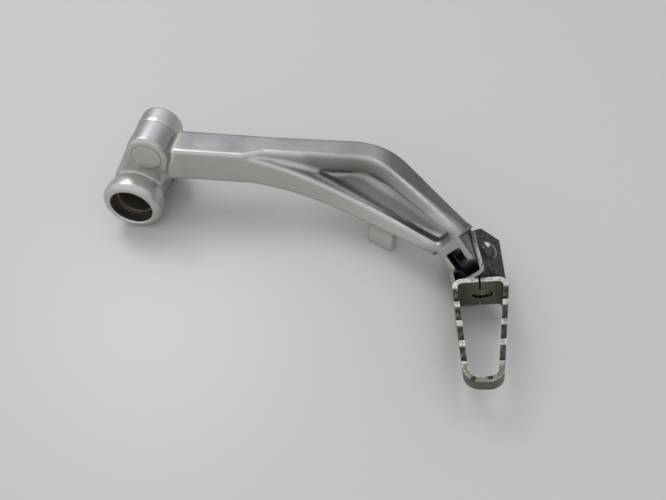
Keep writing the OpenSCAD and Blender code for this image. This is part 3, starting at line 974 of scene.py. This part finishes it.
class PEDAL_OT_toe_piece(bpy.types.Operator):
    """Finishes the yoke, the loop, its weld, the rivet and its sleeve"""
    bl_idname = "pedal.toe_piece"
    bl_label = "Folding toe piece"

    def execute(self, context):
        edge = settings("toe").edge
        steel = steel_material()
        dress_node("hinge_yoke", steel, edge)
        dress_node("toe_loop", plating_material(), edge)
        dress_node("hinge_rivet", rivet_material())
        dress_node("hinge_sleeve", steel)
        self.roughen(dress_node("toe_welds", weld_material()))
        return {"FINISHED"}

    def roughen(self, weld):
        """Gives the plug weld its lumps."""
        fine = weld.modifiers.new("Fine mesh", "REMESH")
        fine.mode = "VOXEL"
        fine.voxel_size = WELD_GRID
        lumps = weld.modifiers.new("Lumps", "DISPLACE")
        lumps.texture = bpy.data.textures.new("weld lumps", "CLOUDS")
        lumps.texture.noise_scale = LUMP_SIZE
        lumps.texture_coords = "LOCAL"
        lumps.mid_level = LUMP_LEVEL
        lumps.strength = LUMP_HEIGHT


class PEDAL_OT_spring(bpy.types.Operator):
    """Blackens the torsion spring and rounds its wire"""
    bl_idname = "pedal.spring"
    bl_label = "Torsion spring"

    def execute(self, context):
        obj = dress_node("torsion_spring", wire_material())
        smooth = obj.modifiers.new("Round wire", "SUBSURF")
        smooth.levels = 1
        smooth.render_levels = 1
        return {"FINISHED"}


class PEDAL_OT_stage(bpy.types.Operator):
    """Adds the pale table, the soft window, the room light and the camera"""
    bl_idname = "pedal.stage"
    bl_label = "Stage"

    def execute(self, context):
        given = settings("stage")
        self.add_table(context.scene, given)
        self.add_room(context.scene, given)
        self.add_window(context.scene, given)
        self.add_camera(context.scene, given)
        context.scene.view_settings.view_transform = "Standard"
        return {"FINISHED"}

    def add_table(self, scene, given):
        mesh = bpy.data.meshes.new("table")
        corners = [(x * TABLE_HALF, y * TABLE_HALF, TABLE_Z) for x, y in ((-1, -1), (1, -1), (1, 1), (-1, 1))]
        mesh.from_pydata(corners, [], [(0, 1, 2, 3)])
        table = bpy.data.objects.new("table", mesh)
        scene.collection.objects.link(table)
        material, _, shader = new_material("pale table")
        shader.inputs["Base Color"].default_value = (*given.floor, 1.0)
        shader.inputs["Roughness"].default_value = TABLE_ROUGHNESS
        mesh.materials.append(material)

    def add_room(self, scene, given):
        """Pale room all round, dimmer towards the horizon and below it."""
        world = bpy.data.worlds.new("room")
        world.use_nodes = True
        tree = world.node_tree
        light = tree.nodes["Background"]
        lean = node(tree, "ShaderNodeVectorMath", operation="DOT_PRODUCT")
        tree.links.new(node(tree, "ShaderNodeTexCoord").outputs["Generated"], lean.inputs[0])
        lean.inputs[1].default_value = ROOM_LEAN
        level = ramp(tree, lean.outputs["Value"], 0.0, ROOM_PALE_FROM,
                     HORIZON_SHARE * given.world, given.world)
        tree.links.new(level, light.inputs["Strength"])
        light.inputs["Color"].default_value = (*ROOM_COLOUR, 1.0)
        scene.world = world

    def add_window(self, scene, given):
        data = bpy.data.lights.new("window", "AREA")
        data.shape = "DISK"
        data.size = WINDOW_SIZE
        data.energy = given.window
        window = bpy.data.objects.new("window", data)
        window.location = WINDOW_AT
        inward = Vector(WINDOW_TARGET) - Vector(WINDOW_AT)
        window.rotation_euler = inward.to_track_quat("-Z", "Y").to_euler()
        scene.collection.objects.link(window)

    def add_camera(self, scene, given):
        data = bpy.data.cameras.new("photo camera")
        data.sensor_width = SENSOR_WIDTH
        data.lens = given.focal_px / IMAGE_WIDTH * SENSOR_WIDTH
        data.clip_start = 0.01
        camera = bpy.data.objects.new("photo camera", data)
        camera.location = given.camera_place
        camera.rotation_euler = given.camera_turn
        scene.collection.objects.link(camera)
        scene.camera = camera


OPERATORS = (PEDAL_OT_casting, PEDAL_OT_bush, PEDAL_OT_toe_piece, PEDAL_OT_spring, PEDAL_OT_stage)


class VIEW3D_PT_pedal(bpy.types.Panel):
    """Lists the pedal's settings and the operators that build it"""
    bl_idname = "VIEW3D_PT_pedal"
    bl_label = "Rear brake pedal"
    bl_space_type = "VIEW_3D"
    bl_region_type = "UI"
    bl_category = "Pedal"

    def draw(self, context):
        for name, group in SETTINGS.items():
            column = self.layout.column(heading=name.capitalize())
            for key in group.__annotations__:
                column.prop(settings(name), key)
        for operator in OPERATORS:
            self.layout.operator(operator.bl_idname)


def register():
    for group in SETTINGS.values():
        bpy.utils.register_class(group)
    for name, group in SETTINGS.items():
        setattr(bpy.types.Scene, "pedal_" + name, bpy.props.PointerProperty(type=group))
    for operator in OPERATORS:
        bpy.utils.register_class(operator)
    bpy.utils.register_class(VIEW3D_PT_pedal)


def unregister():
    bpy.utils.unregister_class(VIEW3D_PT_pedal)
    for operator in reversed(OPERATORS):
        bpy.utils.unregister_class(operator)
    for name in SETTINGS:
        delattr(bpy.types.Scene, "pedal_" + name)
    for group in SETTINGS.values():
        bpy.utils.unregister_class(group)


def main():
    register()
    bpy.ops.pedal.casting()
    bpy.ops.pedal.bush()
    bpy.ops.pedal.toe_piece()
    bpy.ops.pedal.spring()
    bpy.ops.pedal.stage()


if __name__ == "__main__":
    main()
